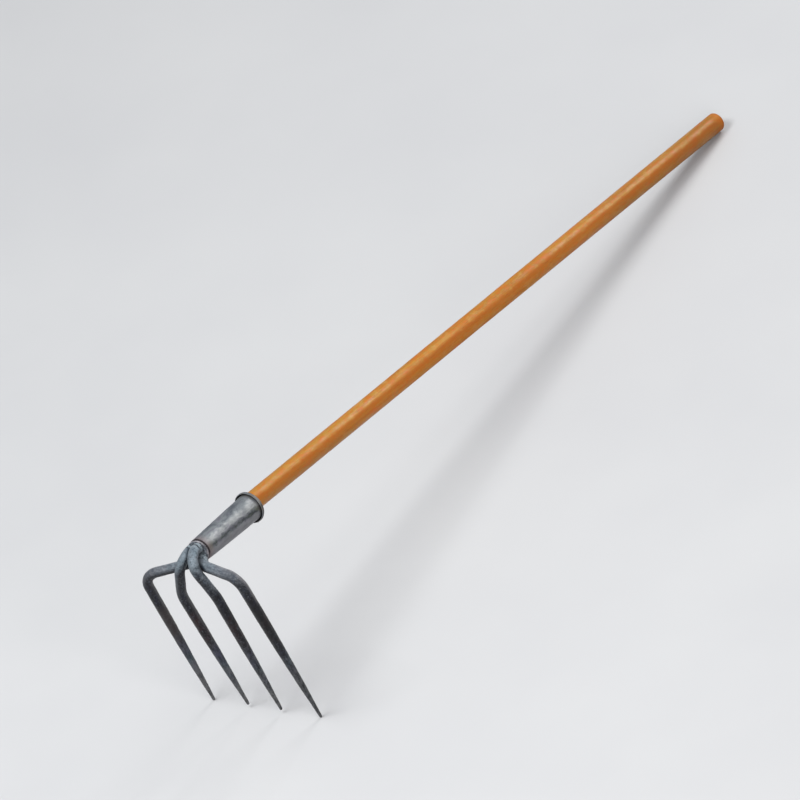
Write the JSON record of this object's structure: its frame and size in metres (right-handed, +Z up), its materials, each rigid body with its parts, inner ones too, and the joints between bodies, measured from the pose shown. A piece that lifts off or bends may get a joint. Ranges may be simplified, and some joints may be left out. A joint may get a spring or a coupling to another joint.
{
  "type": "steel rake",
  "caption": "Hooked hand rake: bent round steel tines welded into a tapered tube socket with a rolled lip, on a long straight wooden handle.",
  "frame": {"origin": "centre of the bounding box in plan, at the height of the ground it rests on", "axes": "+Z up as it lies at rest on its two outer points and the handle's end; +Y from the head towards the handle's free end; X across the row of tines, +X on the right when looking along +Y"},
  "size_m": [0.1951, 1.3286, 0.3282],
  "materials": {
    "handle_wood": "varnished, worn",
    "socket_steel": "dull galvanised, mottled",
    "weld_metal": "bright weld bead with heat tint",
    "screw_steel": "zinc plated",
    "tine_steel": "forged, dull, with light rust"
  },
  "bodies": {
    "root": {"handle": "handle_wood", "socket": "socket_steel", "weld_ring": "weld_metal", "fixing_screw": "screw_steel", "tine_outer_left": "tine_steel", "tine_inner_left": "tine_steel", "tine_inner_right": "tine_steel", "tine_outer_right": "tine_steel"}
  },
  "joints": []
}
